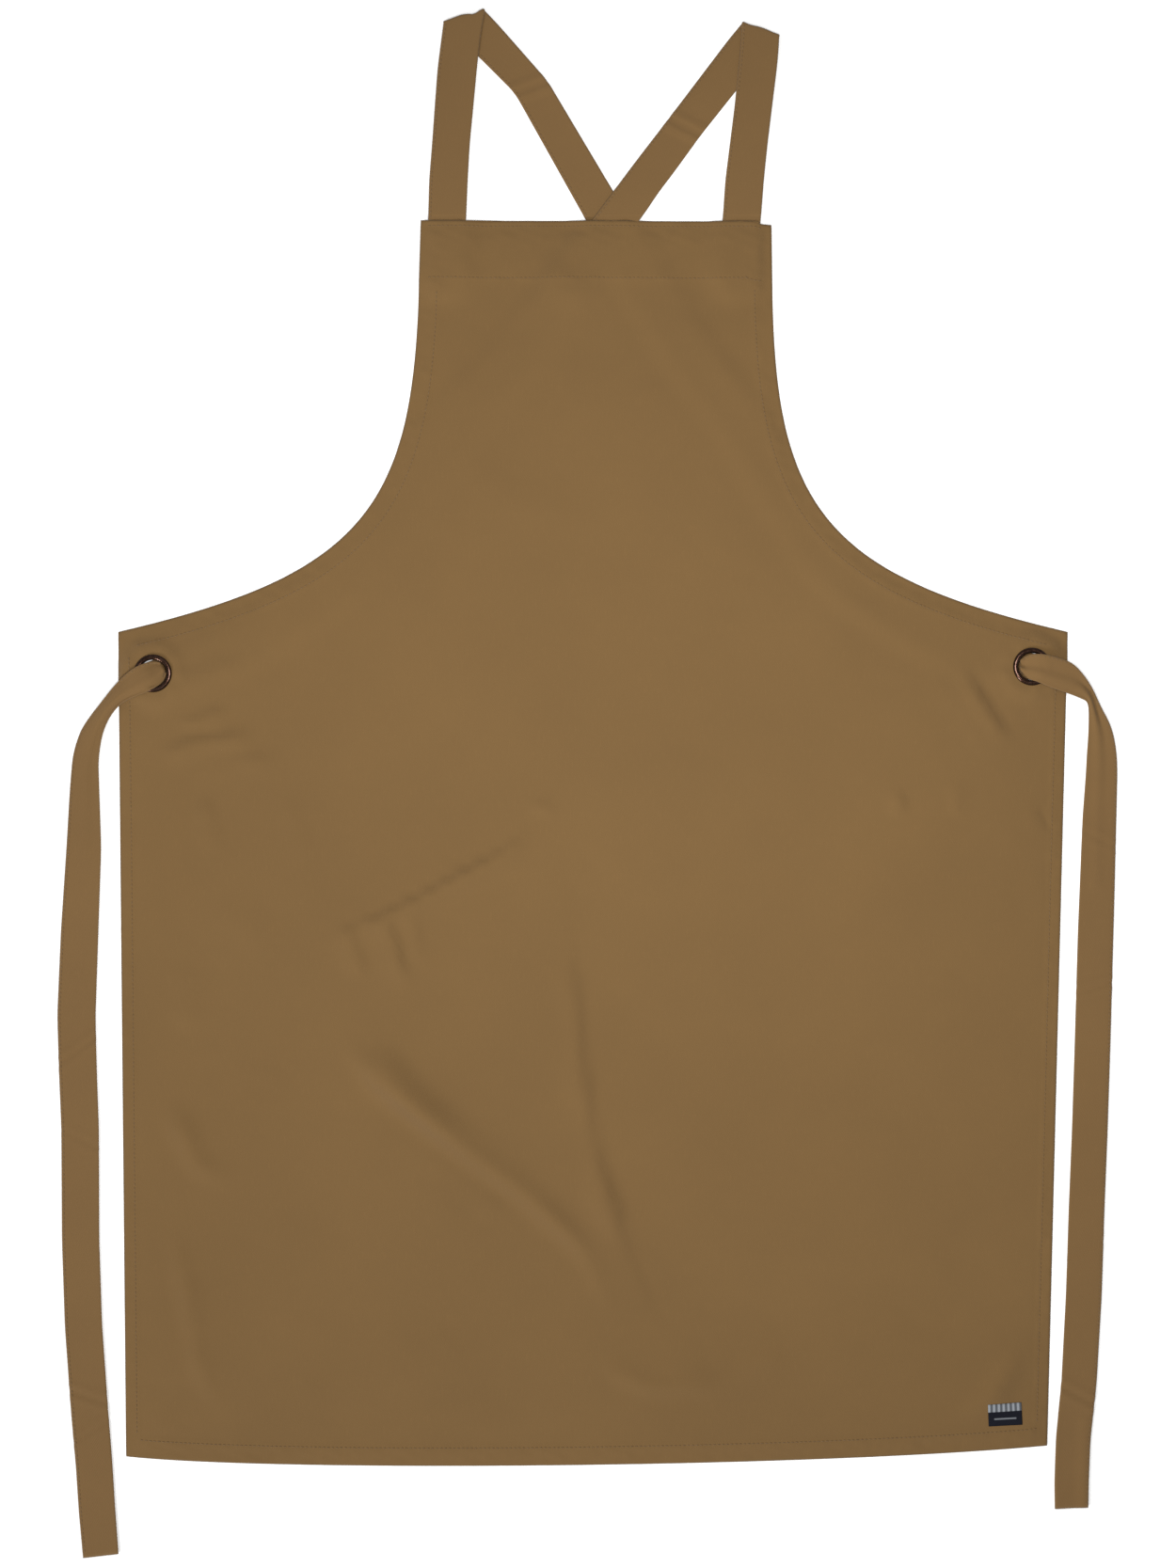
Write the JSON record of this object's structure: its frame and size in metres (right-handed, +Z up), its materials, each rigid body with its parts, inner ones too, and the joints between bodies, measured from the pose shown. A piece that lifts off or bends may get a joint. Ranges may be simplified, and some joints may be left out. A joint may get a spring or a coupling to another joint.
{
  "type": "cross-back bib apron",
  "caption": "Cross-back bib apron in twill, laid flat, with curved armholes, long shoulder straps crossed behind the bib, and ties threaded out through metal eyelets.",
  "frame": {"origin": "centre of the outer box on the surface the apron lies on", "axes": "+Y from the bottom hem to the shoulder loops, +X to the viewer's right when looking at the apron's face, +Z up out of the cloth"},
  "size_m": [0.7807, 1.144, 0.0078],
  "materials": {
    "twill": "matte cotton twill",
    "strap": "matte folded cotton twill",
    "thread": "spun sewing thread",
    "eyelet": "dark antique plating, worn bright on the crown",
    "label": "plain woven label"
  },
  "bodies": {
    "apron": {"apron_panel": "twill", "bib_top_hem": "twill", "left_armhole_facing": "twill", "right_armhole_facing": "twill", "left_side_hem": "twill", "right_side_hem": "twill", "bottom_hem": "twill", "left_eyelet": "eyelet", "right_eyelet": "eyelet", "left_eyelet_washer": "eyelet", "right_eyelet_washer": "eyelet", "left_strap_sewn_end": "strap", "right_strap_sewn_end": "strap", "left_strap_hidden_run": "strap", "right_strap_hidden_run": "strap", "woven_label": "label", "bib_stitching": "thread", "armhole_stitching": "thread", "side_hem_stitching": "thread", "bottom_hem_stitching": "thread"},
    "shoulder_straps": {"left_strap_front_run": "strap", "right_strap_front_run": "strap", "left_strap_back_run": "strap", "right_strap_back_run": "strap"},
    "left_tie": {"left_tie": "strap"},
    "right_tie": {"right_tie": "strap"}
  },
  "joints": [
    {"name": "straps_fold", "type": "hinge", "parent": "apron", "child": "shoulder_straps", "pos_m": [0, 0.415, 0.0044], "axis": [1, 0, 0], "range_deg": [0, 170]},
    {"name": "left_tie_swing", "type": "hinge", "parent": "apron", "child": "left_tie", "pos_m": [-0.3205, 0.0815, 0.0044], "axis": [0, 0, 1], "range_deg": [-80, 0]},
    {"name": "right_tie_swing", "type": "hinge", "parent": "apron", "child": "right_tie", "pos_m": [0.327, 0.0865, 0.0044], "axis": [0, 0, 1], "range_deg": [0, 80]}
  ]
}
